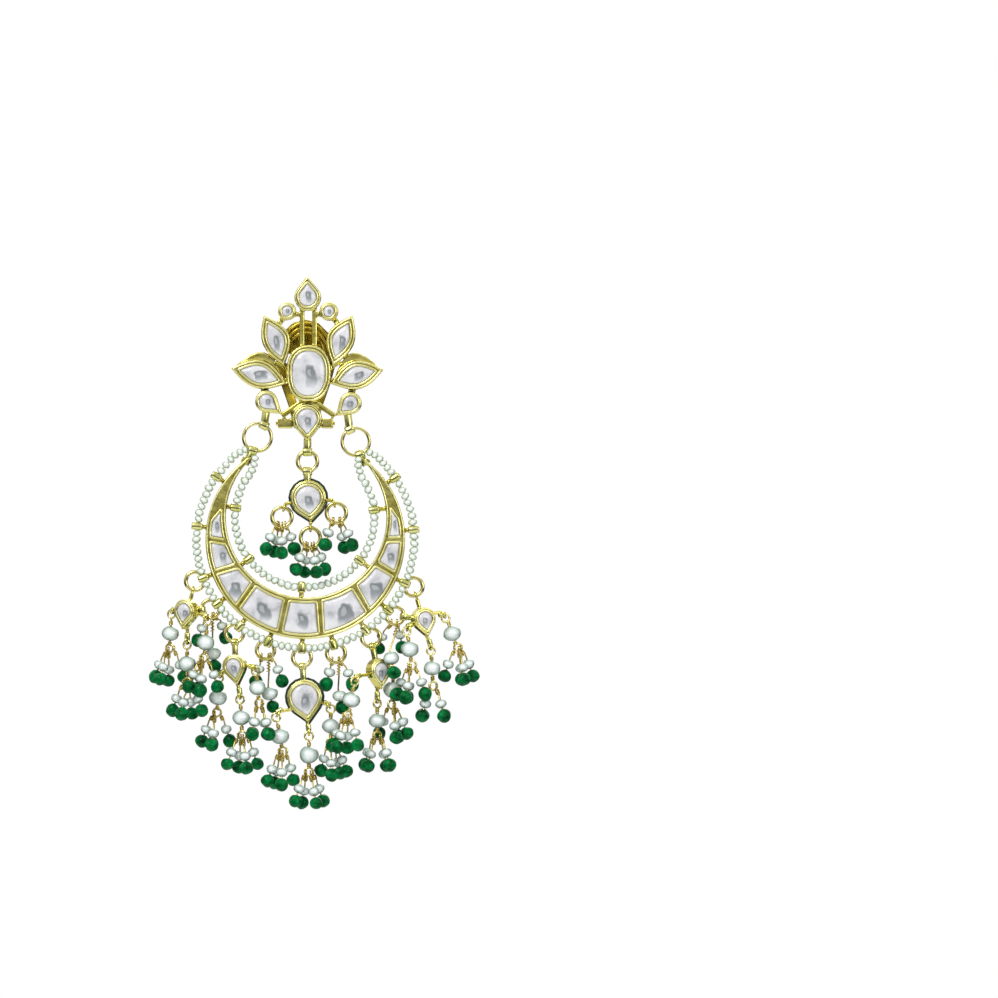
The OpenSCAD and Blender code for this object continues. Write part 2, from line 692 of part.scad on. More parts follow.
module inner_drop_frame() {
    top = along(drop_ring_at[0], drop_ring_at[1], 0);
    color("gold") difference() {
        union() {
            slab(pear(inner_drop_mid, inner_drop_r, inner_drop_tip, 0), frame_front - 0.1, -1.3);
            slab(pear(inner_drop_mid, inner_drop_r, inner_drop_tip, 0.5), -1.5, 0);
            inner_drop_stubs(0.32);
            for (i = [0:2]) eyelet(inner_hook(i), drop_y, inner_hook_angle(i), eyelet_r);
            bail(top, drop_y, 0, 0, 2.2);
        }
        slab(pear(inner_drop_mid, inner_drop_r, inner_drop_tip, rim + 0.1), -5, frame_front - 0.1 + seat_depth);
    }
}

module inner_drop_enamel() {
    wide = (inner_drop_r + 0.3) / inner_drop_r;
    tip = inner_drop_mid + (inner_drop_tip - inner_drop_mid) * wide;
    color("darkgreen") difference() {
        slab(pear(inner_drop_mid, inner_drop_r + 0.3, tip, 0), -1.22, 0.1);
        slab(pear(inner_drop_mid, inner_drop_r, inner_drop_tip, 0.42), -3, 2);
        inner_drop_stubs(0.4);
        translate([-0.95, drop_y - 0.6, -19]) cube([1.6, 1.2, 4]);
    }
}

module inner_drop_stone() {
    color("gainsboro")
        stone(pear(inner_drop_mid, inner_drop_r, inner_drop_tip, rim + 0.1 + stone_gap),
            frame_front + seat_depth - 0.15, stone_front - 0.05, frame_front + 0.1);
}

module inner_drop_rings() {
    color("goldenrod") for (m = inner_rings) jump_ring(m, drop_y, inner_ring_r, ring_wire);
}

module inner_drop_sprays(what) {
    for (i = [0:2])
        translate([inner_rings[i][0], drop_y, inner_rings[i][1] - inner_ring_r - hub_r - 0.12])
            spray(fan_pins(inner_fans[i], inner_out, inner_down), 0, what);
}

crown_frame();
ear_post();
clip_lever();
clip_hinge_pin();
for (i = [1:11])
    seated_stone(crown_outlines(rim + stone_gap)[i - 1]);
color("goldenrod") jump_ring(hang_rings[0][0], drop_y, hang_rings[0][1], ring_wire);  // hang_ring_left
color("goldenrod") jump_ring(hang_rings[1][0], drop_y, hang_rings[1][1], ring_wire);  // hang_ring_right
color("goldenrod") jump_ring(drop_ring_at[0], drop_y, drop_ring_at[1], ring_wire);  // drop_ring
crescent_frame();
for (i = [1:9])
    seated_stone(inset(bay(i - 1, rim), stone_gap));
strand(crescent_mid, outer_strand_r, outer_pegs, -strand_ends[0], strand_ends[1]);  // outer_pearl_strand
strand(strand_mid, inner_strand_r, inner_pegs, -130, 128);  // inner_pearl_strand
inner_drop_frame();
inner_drop_enamel();
inner_drop_stone();
inner_drop_rings();
inner_drop_sprays("wires");  // inner_drop_wires
inner_drop_sprays("seeds");  // inner_drop_pearls
inner_drop_sprays("greens");  // inner_drop_emeralds
for (i = [1:5]) {
    pendant_frame(i - 1);
    pendant_stone(i - 1);
}
centre_pendant_enamel();
fringe_rings();
fringe_pins();
fringe_pearls();
fringe_sprays(true, "wires");  // fringe_wires_left
fringe_sprays(true, "seeds");  // fringe_seeds_left
fringe_sprays(true, "greens");  // fringe_emeralds_left
fringe_sprays(false, "wires");  // fringe_wires_right
fringe_sprays(false, "seeds");  // fringe_seeds_right
fringe_sprays(false, "greens");  // fringe_emeralds_right
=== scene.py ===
import math
import random
from collections import namedtuple

import bmesh
import bpy
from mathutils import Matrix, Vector, noise


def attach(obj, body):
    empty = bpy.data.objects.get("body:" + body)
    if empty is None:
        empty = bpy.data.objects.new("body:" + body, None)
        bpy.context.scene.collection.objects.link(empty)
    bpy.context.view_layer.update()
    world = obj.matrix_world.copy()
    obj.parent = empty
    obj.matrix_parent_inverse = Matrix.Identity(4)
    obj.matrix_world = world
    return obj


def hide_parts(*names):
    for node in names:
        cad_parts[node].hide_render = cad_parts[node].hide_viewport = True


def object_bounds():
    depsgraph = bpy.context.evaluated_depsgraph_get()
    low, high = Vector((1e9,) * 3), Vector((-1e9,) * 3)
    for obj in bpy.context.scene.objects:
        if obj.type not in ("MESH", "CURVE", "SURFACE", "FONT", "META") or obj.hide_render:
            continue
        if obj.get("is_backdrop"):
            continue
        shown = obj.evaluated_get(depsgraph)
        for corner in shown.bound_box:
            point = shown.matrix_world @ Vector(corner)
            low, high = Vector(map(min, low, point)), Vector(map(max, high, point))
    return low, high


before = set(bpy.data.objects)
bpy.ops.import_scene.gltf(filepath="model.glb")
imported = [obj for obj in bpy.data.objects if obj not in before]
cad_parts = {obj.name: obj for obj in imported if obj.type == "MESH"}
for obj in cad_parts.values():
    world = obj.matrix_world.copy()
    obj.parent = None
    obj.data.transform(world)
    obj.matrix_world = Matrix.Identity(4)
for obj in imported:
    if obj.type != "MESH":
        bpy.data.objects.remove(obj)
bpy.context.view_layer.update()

MM = 0.001
scene = bpy.context.scene

# Lengths are in millimetres and angles in degrees, except where a comment says something else.
# An angle on a ring or an arc is taken from straight down, positive towards +X.

# Camera: straight from the front, through a long lens, with the earring left of the picture's middle
IMAGE_WIDTH = 169.66 * MM
CAMERA_AT = Vector((32.385, -1500, -21.335)) * MM
SENSOR = 36.0
NEAR_CLIP = 50 * MM
FAR_CLIP = 20000 * MM

# Brightness that the gold reflects, by height from straight below (0) to straight above (1)
STUDIO_BANDS = ((0.0, 0.05), (0.3, 0.015), (0.45, 0.04), (0.49, 0.4), (0.57, 0.58), (0.66, 1.1),
                (0.74, 0.12), (0.84, 0.95))
# Place from the middle of the earring and size, both in metres, and power
LIGHTS = {
    "key": ((-0.35, -0.6, 0.5), 0.3, 3.6),
    "fill": ((0.5, -0.6, 0.1), 0.3, 1.2),
    "back": ((0.1, 0.6, 0.35), 0.4, 1.5),
}
FLOOR_SIZE = 1200 * MM
FLOOR_DROP = 300 * MM

# Scales of the noise in each material
GOLD_TINT_SCALE = 350
GOLD_DENT_SCALE = 480
PEARL_DENT_SCALE = 900
GREEN_CLOUD_SCALE = 700
STONE_WAVE_SCALE = 420
STONE_CLOUD_SCALE = 520
# How near a wall has to be for the painted shade to darken a hollow in the gold
SHADE_IN_HOLLOWS_REACH = 0.7
PEARL_DENT = 0.03
# The painted reflection of a grey table in a stone and its lighter painted middle: middle and half
# size, as shares of the stone's box, how far the box is bent by noise, and where the soft edge of a
# patch starts and ends
TABLE_REFLECTION_MID = (0.72, 0.57)
TABLE_REFLECTION_HALF = (0.16, 0.23)
CULET_REFLECTION_MID = (0.69, 0.66)
CULET_REFLECTION_HALF = (0.06, 0.07)
BOX_BEND = 0.34
PATCH_EDGE = (0.3, 2.2)

# Gold settings worn round: voxel size, smoothing passes and share of the faces kept
WORN_FRAMES = {
    "crown_frame": (0.12, 3, 0.5),
    "crescent_frame": (0.12, 3, 0.5),
    "inner_drop_frame": (0.09, 3, 0.6),
    "clip_lever": (0.13, 7, 0.7),
    **{f"pendant_frame_{i}": (0.08, 3, 0.5) for i in range(1, 6)},
}
SMOOTHING = 0.5
# How far the surface of these nodes is moved out
THICKER = {
    "centre_pendant_enamel": 0.12,
    "inner_drop_enamel": 0.1,
    "hang_ring_left": 0.05,
    "hang_ring_right": 0.05,
    "drop_ring": 0.1,
    "inner_drop_rings": 0.1,
    "fringe_rings": 0.1,
}
# Corners of a node's mesh that are closer than this are one corner
SAME_CORNER = 0.002

# How far faces lean: backwards on a stone's flat back, and forwards on its girdle and its front slope
BACK_LEAN = 0.3
GIRDLE_LEAN = 0.1
SLOPE_LEAN = 0.2
# Depth of a stone's girdle behind the front of its setting
GIRDLE_BACK = 0.2

# Gold lip pushed over each stone's edge, and the raised outer rim of each setting: radius of the
# wire, distance out from the stone, depth behind the setting's front and passes that round its corners
LIP_R = 0.23
LIP_OUT = 0.15
LIP_BACK = 0.06
LIP_ROUNDING = 6
RIM_R = 0.18
RIM_OUT = 0.64
RIM_BACK = 0.04
RIM_ROUNDING = 1
LOOP_STEP = 0.15
FEWEST_LOOP_POINTS = 24
# A corner of a loop moves out by at most the distance divided by this
SHARPEST_CORNER = 0.35

# How far the small stones spread over their settings' edges, and how far forward they then sit
SPREAD = {
    **{f"crown_stone_{i}": 0.16 for i in (5, 8)},
    **{f"crown_stone_{i}": 0.28 for i in (6, 7, 9, 10)},
    **{f"pendant_stone_{i}": 0.22 for i in range(1, 6)},
    "inner_drop_stone": 0.14,
}
SPREAD_FRONT = 0.16
STONE_ROUNDING = 5
STONE_BACK = 0.4
# Front of a stone: shares of its outline, and their heights above the girdle
STONE_DOME = ((1.0, 0.0), (0.97, 0.1), (0.91, 0.22), (0.82, 0.34), (0.71, 0.43), (0.6, 0.49),
              (0.45, 0.52), (0.28, 0.53), (0.12, 0.53))

# Outer and inner rim of the crescent: middle in X and Z, radius, first and last angle
CRESCENT_RIMS = (
    ((-0.51, -28.18), 16.72, -143, 143),
    ((-0.39, -24.44), 13.86, -126, 126),
)
CRESCENT_FRONT = -2.2
ARC_STEPS = 120

# Seed pearl strands, as arcs in the crescent's plane. The tails are the last pearls at each end, in X
# and Z, from the arc to the bail that the strand is tied to.
Strand = namedtuple("Strand", "middle radius first last pegs first_tail last_tail")
STRANDS = {
    "outer_pearl_strand": Strand(
        middle=(-0.51, -28.18),
        radius=18.5,
        first=-139,
        last=136,
        pegs=[-125.3, -97, -69.3, -53.8, -37, -19.8, -1.7, 15, 33.7, 49.6, 66.3, 95.2, 124.5],
        first_tail=[(-12.45, -13.9), (-11.6, -13.35), (-10.75, -12.95)],
        last_tail=[(12.1, -14.5), (11.3, -13.85), (10.45, -13.4)],
    ),
    "inner_pearl_strand": Strand(
        middle=(-0.6, -24.45),
        radius=11.85,
        first=-130,
        last=128,
        pegs=[-98, -53.3, -2.6, 52, 96.2],
        first_tail=[(-9.55, -16.45), (-9.2, -15.45), (-9.05, -14.4)],
        last_tail=[(8.75, -16.6), (8.5, -15.6), (8.55, -14.6)],
    ),
}
STRAND_Y = -1.72
PEG_HALF = 0.66
THREAD_R = 0.16
SEED_PITCH = 1.12
SEED_R = 0.77
# Size of a seed pearl along the thread to its width
SEED_LENGTH = 0.6 / SEED_R
SEED_ROUGH = 0.12
SEED_STRAY = 0.06
SEED_TILT = 0.3
SEED_SIZES = (0.9, 1.04)
TAIL_SIZES = (0.85, 1)

# Tubes round the pegs
SLEEVE_R = 0.66
SLEEVE_OUT = 0.93
SLEEVE_SIDES = 20
# Profile of a tube's rounded end: share of its radius, and depth from the end as a share of it
SLEEVE_END = ((0.4, 0.0), (0.7, 0.02), (0.85, 0.09), (0.95, 0.22), (1.0, 0.42))

# Natural beads differ in size and length by these factors; their dents are noise of this scale,
# read at a place of its own for each bead
BEAD_SIZES = (0.95, 1.04)
BEAD_LENGTHS = (0.94, 1.06)
BEAD_DENT_SCALE = 1.1
BEAD_DENT_PLACE = 900
BEAD_FINENESS = 3
SEED_FINENESS = 2
BEAD_GAP = 0.12
GREEN_R = 1.05

# Sprays: the outer beads of a spray, as shares of its reach, are lifted above the inner ones
PEARL_REACH = 1.3
GREEN_REACH = 2.1
FAN_LIFT = 0.7
FAN_LEVEL = 0.5
FAN_MOST = 1.3
# Room that the beads leave beside a pendant that they hang in front of
PENDANT_CLEAR = 0.9

# Head pins of the sprays: the eye round the ring, then the shank to the pearl and the green bead
PIN_R = 0.14
EYE_R = 0.44
EYE_STEPS = 16
EYE_FIRST = 180
EYE_TURN = 345
EYE_SPREAD = 0.75
EYE_STRAY = 0.12
# Place of the eyes: depth of the hub's top that they are centred on, their drop below it, and the
# diameter of the curve that lifts the outer ones
HUB_TOP = 0.25
HUB_DROP = 0.288
HUB_CURVE = 3
# The shank: where it starts from the eye, out in X and Y and down, its bow, and its bend over the pearl
SHANK_OUT = (0.1, 0.25)
SHANK_DROP = 0.1
SHANK_BOW = 0.15
BEND_ABOVE = 0.1
# Wire wound round the pins, and its length above and below each large pearl
WRAP_R = 0.27
WRAP_WIRE = 0.09
WRAP_TURNS = 4
WRAP_SHARE = 0.45
COIL_STEPS = 12
COLLAR_SUNK = 0.03
COLLAR_LENGTH = 0.7
PIN_TOP = 0.3

# Middle in X and Z, and size of each pendant, and the straps and tubes soldered to them
PENDANTS = (
    ((-20.5, -40.3), 1.98),
    ((-12.4, -49.7), 2.0),
    ((-0.63, -55.0), 3.0),
    ((11.7, -50.4), 2.0),
    ((19.4, -41.7), 1.98),
)
PENDANT_Y = -0.75
RING_WIRE = 0.24
STRAP_R = 0.5
STRAP_SUNK = 0.4
STRAP_HEAD_R = 0.7
STRAP_HEAD = 1.25
ARM_TUBE_R = 0.46
ARM_TUBE = 1.3
ARM_TOP = 0.2

# The large rings: middle in X and Z, and radius
HANG_LEFT = ((-8.65, -10.85), 2.36)
HANG_RIGHT = ((8.05, -11.6), 2.32)
DROP = ((-0.15, -14.94), 1.67)
# Bails on each body: its ring, the bail's angle on it, and the angle and length of the bail's neck
BAILS = {
    "crown": ((*HANG_LEFT, 151, 172, 2.7), (*HANG_RIGHT, -154, 188, 3.0), (*DROP, 180, 180, 2.4)),
    "crescent": ((*HANG_LEFT, -19.5, -27.3, 1.9), (*HANG_RIGHT, 18.8, 26.3, 1.9)),
    "inner_drop": ((*DROP, 0, 0, 2.2),),
}
BAIL_Y = -1.1
BAIL_R = 0.66
BAIL_HEAD_R = 0.8
BAIL_HEAD = 1.6

# Ribs on the front of the clip's pad, whose upper part leans to the front: middle of their arcs in X
# and Z, half sizes and shares of them, angles from +X, places across of the bars and their heights
CLIP_PAD_MID = (-0.6, 3.4)
CLIP_PAD_HALF = (4.9, 5.9)
CLIP_PAD_Y = 4.72
CLIP_BEND_Z = 5.2
CLIP_LEAN = 0.227
RIB_R = 0.26
RIB_ARCS = (0.9, 0.76, 0.62)
RIB_FIRST = 12
RIB_TURN = 156
RIB_STEPS = 30
RIB_BARS = (-2.3, -1.2, 0.1, 1.4, 2.4)
RIB_BAR_HEIGHTS = (0.3, 1.6, 2.9)


# Materials

def new_material(name):
    material = bpy.data.materials.new(name)
    material.use_nodes = True
    return material, material.node_tree, material.node_tree.nodes["Principled BSDF"]


def add_node(tree, kind, **values):
    node = tree.nodes.new(kind)
    for key, value in values.items():
        setattr(node, key, value)
    return node


def set_inputs(tree, node, values):
    """Sets or links each input; a value is a number, a tuple or another node's output."""
    for key, value in values.items():
        if isinstance(value, bpy.types.NodeSocket):
            tree.links.new(value, node.inputs[key])
        else:
            node.inputs[key].default_value = value


def noise_texture(tree, scale, detail):
    place = add_node(tree, "ShaderNodeTexCoord")
    texture = add_node(tree, "ShaderNodeTexNoise")
    set_inputs(tree, texture, {"Scale": scale, "Detail": detail, "Vector": place.outputs["Object"]})
    return texture.outputs


def ramp(tree, factor, stops):
    node = add_node(tree, "ShaderNodeValToRGB")
    elements = node.color_ramp.elements
    while len(elements) < len(stops):
        elements.new(0.5)
    for element, (position, color) in zip(elements, stops):
        element.position = position
        element.color = (*color, 1)
    tree.links.new(factor, node.inputs["Fac"])
    return node.outputs["Color"]


def mix_colors(tree, factor, first, second, blend="MIX"):
    """first where factor is 0 and second blended over it where it is 1."""
    node = add_node(tree, "ShaderNodeMix", data_type="RGBA", blend_type=blend)
    set_inputs(tree, node, {"Factor": factor, "A": first, "B": second})
    return node.outputs["Result"]


def calculate(tree, operation, first, second):
    node = add_node(tree, "ShaderNodeMath", operation=operation)
    set_inputs(tree, node, {0: first, 1: second})
    return node.outputs[0]


def bump(tree, shader, height, depth):
    node = add_node(tree, "ShaderNodeBump")
    set_inputs(tree, node, {"Distance": depth * MM, "Strength": 1, "Height": height})
    tree.links.new(node.outputs["Normal"], shader.inputs["Normal"])


def gold(name, low, high, roughness, dent):
    """Gold that varies from low to high; with a dent it is also uneven, with painted shade darkening
    its hollows.
    """
    material, tree, shader = new_material(name)
    tint = ramp(tree, noise_texture(tree, GOLD_TINT_SCALE, 2)["Fac"], [(0.35, low), (0.65, high)])
    if dent:
        # Painted shade: the colour is darkened where walls are near, in the hollows and grooves where
        # shade falls
        shade_in_hollows = add_node(tree, "ShaderNodeAmbientOcclusion")
        shade_in_hollows.inputs["Distance"].default_value = SHADE_IN_HOLLOWS_REACH * MM
        shade = ramp(tree, shade_in_hollows.outputs["AO"], [(0.42, (0.1, 0.08, 0.005)), (0.86, (1, 1, 1))])
        tint = mix_colors(tree, 1, tint, shade, "MULTIPLY")
        bump(tree, shader, noise_texture(tree, GOLD_DENT_SCALE, 2)["Fac"], dent)
    set_inputs(tree, shader, {"Metallic": 1, "Roughness": roughness, "Base Color": tint})
    return material


def pearl(name, middle, body, edge):
    """Pearl with painted light: its colour goes from a painted highlight (middle), where it faces the
    eye, through body, to painted shade with a painted reflection of the gold (edge), where it turns
    away.
    """
    material, tree, shader = new_material(name)
    weight = add_node(tree, "ShaderNodeLayerWeight")
    weight.inputs["Blend"].default_value = 0.5
    # Painted highlight in the middle, and painted shade with a painted reflection of the gold at the
    # edge
    color = ramp(tree, weight.outputs["Facing"], [(0.03, middle), (0.3, body), (0.72, edge)])
    set_inputs(tree, shader, {
        "Base Color": color,
        "Roughness": 0.22,
        "Coat Weight": 0.6,
        "Coat Roughness": 0.12,
    })
    bump(tree, shader, noise_texture(tree, PEARL_DENT_SCALE, 2)["Fac"], PEARL_DENT)
    return material


def green_stone():
    material, tree, shader = new_material("green_stone")
    cloud = ramp(tree, noise_texture(tree, GREEN_CLOUD_SCALE, 3)["Fac"], [
        (0.3, (0.0, 0.03, 0.008)),
        (0.5, (0.0, 0.12, 0.026)),
        (0.7, (0.0, 0.23, 0.055)),
    ])
    set_inputs(tree, shader, {"Base Color": cloud, "Roughness": 0.16, "Specular IOR Level": 0.08})
    return material


def patch(tree, axes, middle, half):
    """1 inside a soft-cornered patch of the stone's front and 0 outside it, in shares of its box."""
    total = 0
    for axis, centre, size in zip(axes, middle, half):
        away = calculate(tree, "DIVIDE", calculate(tree, "SUBTRACT", axis, centre), size)
        square = calculate(tree, "MULTIPLY", away, away)
        total = calculate(tree, "ADD", calculate(tree, "MULTIPLY", square, square), total)
    soft = add_node(tree, "ShaderNodeMapRange", interpolation_type="SMOOTHSTEP")
    start, end = PATCH_EDGE
    set_inputs(tree, soft, {"Value": total, "From Min": start, "From Max": end})
    set_inputs(tree, soft, {"To Min": 1, "To Max": 0})
    return soft.outputs["Result"]


def flat_cut_stone():
    """Silvery foil-backed stone with painted light: a painted reflection of a grey table on its front,
    lighter in its middle, and the stone painted lighter towards the bottom.
    """
    material, tree, shader = new_material("flat_cut_stone")
    box = add_node(tree, "ShaderNodeTexCoord")
    bent = add_node(tree, "ShaderNodeVectorMath", operation="MULTIPLY_ADD")
    wave = noise_texture(tree, STONE_WAVE_SCALE, 2)["Color"]
    set_inputs(tree, bent, {0: wave, 1: (BOX_BEND, BOX_BEND, BOX_BEND), 2: box.outputs["Generated"]})
    split = add_node(tree, "ShaderNodeSeparateXYZ")
    tree.links.new(bent.outputs["Vector"], split.inputs["Vector"])
    height = split.outputs["Z"]
    axes = (split.outputs["X"], height)
    silver = ramp(tree, noise_texture(tree, STONE_CLOUD_SCALE, 4)["Fac"], [
        (0.3, (0.42, 0.43, 0.45)),
        (0.45, (0.62, 0.62, 0.65)),
        (0.65, (0.75, 0.75, 0.78)),
    ])
    # Painted light: the stone's colour is lighter towards its bottom
    foot = ramp(tree, height, [(0.25, (1, 1, 1)), (0.62, (0, 0, 0))])
    body = mix_colors(tree, foot, silver, (0.86, 0.87, 0.89, 1))
    # Painted reflection: the grey table, darker towards the top, with a lighter painted spot in its
    # middle
    shade = ramp(tree, height, [
        (0.36, (0.62, 0.64, 0.67)),
        (0.52, (0.3, 0.32, 0.34)),
        (0.75, (0.2, 0.22, 0.23)),
    ])
    table = mix_colors(tree, patch(tree, axes, TABLE_REFLECTION_MID, TABLE_REFLECTION_HALF), body, shade)
    culet_reflection = mix_colors(tree, patch(tree, axes, CULET_REFLECTION_MID, CULET_REFLECTION_HALF), table, (0.42, 0.44, 0.46, 1))
    set_inputs(tree, shader, {
        "Base Color": culet_reflection,
        "Roughness": 0.24,
        "Specular IOR Level": 0.35,
        "Coat Weight": 0.25,
        "Coat Roughness": 0.05,
    })
    return material


def plain(name, color, roughness, coat=0.0):
    material, tree, shader = new_material(name)
    set_inputs(tree, shader, {"Base Color": (*color, 1), "Roughness": roughness, "Coat Weight": coat})
    return material


yellow_gold = gold("yellow_gold", (0.62, 0.54, 0.1), (0.86, 0.78, 0.24), roughness=0.2, dent=0.09)
# Painted highlight: a lighter copy of the gold for the raised lips and rims, standing in for the light
# that they catch
highlight_gold = gold("highlight_gold", (0.88, 0.81, 0.28), (1.0, 0.96, 0.45), roughness=0.3, dent=0.06)
wire_gold = gold("wire_gold", (0.6, 0.54, 0.18), (0.86, 0.76, 0.34), roughness=0.22, dent=0)
coil_gold = gold("coil_gold", (0.4, 0.3, 0.06), (0.68, 0.55, 0.18), roughness=0.25, dent=0)
findings_gold = gold("findings_gold", (0.6, 0.45, 0.06), (0.82, 0.67, 0.16), roughness=0.18, dent=0)
pale_gold = gold("pale_gold", (0.58, 0.58, 0.17), (0.8, 0.77, 0.34), roughness=0.22, dent=0)
shaded_gold = gold("shaded_gold", (0.25, 0.19, 0.02), (0.6, 0.47, 0.08), roughness=0.26, dent=0)
# Painted light on the pearls: a painted highlight where they face the eye, and painted shade at their
# edges
white_pearl = pearl("white_pearl", (0.92, 0.97, 0.97), (0.56, 0.68, 0.64), (0.13, 0.2, 0.11))
seed_pearl = pearl("seed_pearl", (0.92, 0.97, 0.96), (0.64, 0.74, 0.64), (0.3, 0.38, 0.12))
emerald = green_stone()
polki = flat_cut_stone()
dark_enamel = plain("dark_enamel", (0.004, 0.03, 0.016), 0.12, coat=1)
thread = plain("thread", (0.75, 0.76, 0.68), 0.7)
pale_floor = plain("pale_floor", (0.86, 0.86, 0.85), 0.9)


# Pieces

def new_piece(name, data, material, body, replaced):
    """The mesh or curve as a piece that moves with its body, in place of the replaced nodes."""
    data.materials.append(material)
    piece = bpy.data.objects.new(name, data)
    scene.collection.objects.link(piece)
    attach(piece, body)
    if replaced:
        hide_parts(*replaced)
    return piece


def mesh_piece(name, shape, material, body, *replaced):
    data = bpy.data.meshes.new(name)
    shape.to_mesh(data)
    shape.free()
    for face in data.polygons:
        face.use_smooth = True
    return new_piece(name, data, material, body, replaced)


def wire_piece(name, runs, radius, material, body, *replaced, closed=False):
    """One piece of round wire runs; each run is a list of points."""
    curve = bpy.data.curves.new(name, "CURVE")
    curve.dimensions = "3D"
    curve.bevel_depth = radius * MM
    curve.bevel_resolution = 2
    curve.use_fill_caps = True
    for run in runs:
        line = curve.splines.new("POLY")
        line.use_cyclic_u = closed
        line.points.add(len(run) - 1)
        for point, place in zip(line.points, run):
            point.co = (*place, 1)
    return new_piece(name, curve, material, body, replaced)


def skin(shape, rings):
    """The faces between rings of as many corners each."""
    for low, high in zip(rings, rings[1:]):
        for k in range(len(low)):
            shape.faces.new((low[k - 1], low[k], high[k], high[k - 1]))


def sleeve(shape, start, end, radius):
    """A short tube with rounded ends, from start to end."""
    way = (end - start).normalized()
    turn = way.to_track_quat("Z", "Y").to_matrix()
    angles = [2 * math.pi * k / SLEEVE_SIDES for k in range(SLEEVE_SIDES)]
    circle = [turn @ Vector((math.cos(angle), math.sin(angle), 0)) * radius * MM for angle in angles]
    profile = [(share, start + way * depth * radius * MM) for share, depth in SLEEVE_END]
    profile += [(share, end - way * depth * radius * MM) for share, depth in reversed(SLEEVE_END)]
    rings = [[shape.verts.new(middle + out * share) for out in circle] for share, middle in profile]
    skin(shape, rings)
    shape.faces.new(rings[0][::-1])
    shape.faces.new(rings[-1])


def coil(start, end):
    """Points of a wire wound round the line from start to end."""
    turn = (end - start).normalized().to_track_quat("Z", "Y").to_matrix()
    steps = WRAP_TURNS * COIL_STEPS
    found = []
    for i in range(steps + 1):
        angle = 2 * math.pi * i / COIL_STEPS
        ring = turn @ Vector((math.cos(angle), math.sin(angle), 0)) * WRAP_R * MM
        found.append(start.lerp(end, i / steps) + ring)
    return found


def on_arc(middle, radius, angle):
    """The place at that angle of a circle in the strands' plane."""
    turn = math.radians(angle)
    x, z = middle
    return Vector((x + radius * math.sin(turn), STRAND_Y, z - radius * math.cos(turn))) * MM


def arc_run(middle, radius, first, last):
    step = (last - first) / ARC_STEPS
    return [on_arc(middle, radius, first + step * i) for i in range(ARC_STEPS + 1)]


# Reading the CAD nodes

def joined_shape(node):
    """The node's mesh as a bmesh, with its corners joined."""
    shape = bmesh.new()
    shape.from_mesh(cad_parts[node].data)
    bmesh.ops.remove_doubles(shape, verts=shape.verts, dist=SAME_CORNER * MM)
    return shape


def loose_parts(node):
    """Each loose solid of a node, as the list of its corners."""
    shape = joined_shape(node)
    seen = set()
    parts = []
    for start in shape.verts:
        if start in seen:
            continue
        seen.add(start)
        waiting = [start]
        part = []
        while waiting:
            vertex = waiting.pop()
            part.append(vertex.co.copy())
            for edge in vertex.link_edges:
                other = edge.other_vert(vertex)
                if other not in seen:
                    seen.add(other)
                    waiting.append(other)
        parts.append(part)
    shape.free()
    return parts


def corners(points):
    low = Vector([min(p[i] for p in points) for i in range(3)])
    high = Vector([max(p[i] for p in points) for i in range(3)])
    return low, high


def balls(node):
    """Middle and radius of each bead or ring of a node."""
    found = []
    for part in loose_parts(node):
        low, high = corners(part)
        found.append(((low + high) / 2, max(high - low) / 2))
    return found


def nearest(part, point):
    return min((corner - point).length for corner in part)


def highest(part):
    return max(corner.z for corner in part)


def top_of(part, depth):
    """The mean place of the part's corners down to depth below the highest."""
    lowest = highest(part) - depth * MM
    top = [corner for corner in part if corner.z > lowest]
    return sum(top, Vector()) / len(top)


def girdle_loop(node):
    """The outline where the stone's girdle meets its sloped front, and the way that the front faces."""
    shape = joined_shape(node)
    shape.normal_update()
    flats = {}
    for face in shape.faces:
        if face.normal.y > BACK_LEAN:
            way = tuple(round(part, 2) for part in face.normal)
            flats[way] = flats.get(way, 0) + face.calc_area()
    front = -Vector(max(flats, key=flats.get)).normalized()
    mates = {}
    for edge in shape.edges:
        leans = sorted(face.normal.dot(front) for face in edge.link_faces)
        if abs(leans[0]) < GIRDLE_LEAN and leans[-1] > SLOPE_LEAN:
            for one, other in (edge.verts, reversed(edge.verts)):
                mates.setdefault(one, []).append(other)
    at = min(mates, key=lambda vertex: (vertex.co.x, vertex.co.z))
    walked = [at]
    while True:
        ahead = [other for other in mates[at] if other not in walked]
        if not ahead:
            break
        at = ahead[0]
        walked.append(at)
    loop = [vertex.co.copy() for vertex in walked]
    shape.free()
    return loop, front


# Settings and stones

def round_worn_edges(node, voxel, passes, keep):
    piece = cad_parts[node]
    remesh = piece.modifiers.new("worn", "REMESH")
    remesh.mode = "VOXEL"
    remesh.voxel_size = voxel * MM
    remesh.use_smooth_shade = True
    smooth = piece.modifiers.new("soft", "SMOOTH")
    smooth.factor = SMOOTHING
    smooth.iterations = passes
    thin = piece.modifiers.new("lighter", "DECIMATE")
    thin.ratio = keep


def thicken(node, distance):
    """The node's surface moved out a little all round."""
    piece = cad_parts[node]
    piece.modifiers.new("joined", "WELD").merge_threshold = SAME_CORNER * MM
    swell = piece.modifiers.new("thicker", "DISPLACE")
    swell.mid_level = 0
    swell.strength = distance * MM


def moved_out(points, front, distance):
    """The closed loop moved outwards by distance, with its corners kept sharp."""
    middle = sum(points, Vector()) / len(points)
    found = []
    for i, point in enumerate(points):
        before = (point - points[i - 1]).normalized().cross(front)
        after = (points[(i + 1) % len(points)] - point).normalized().cross(front)
        way = (before + after).normalized()
        if before.dot(point - middle) < 0:
            way = -way
            before = -before
        found.append(point + way * distance * MM / max(SHARPEST_CORNER, way.dot(before)))
    return found


def moved_along(points, way, distance):
    return [point + way * distance * MM for point in points]


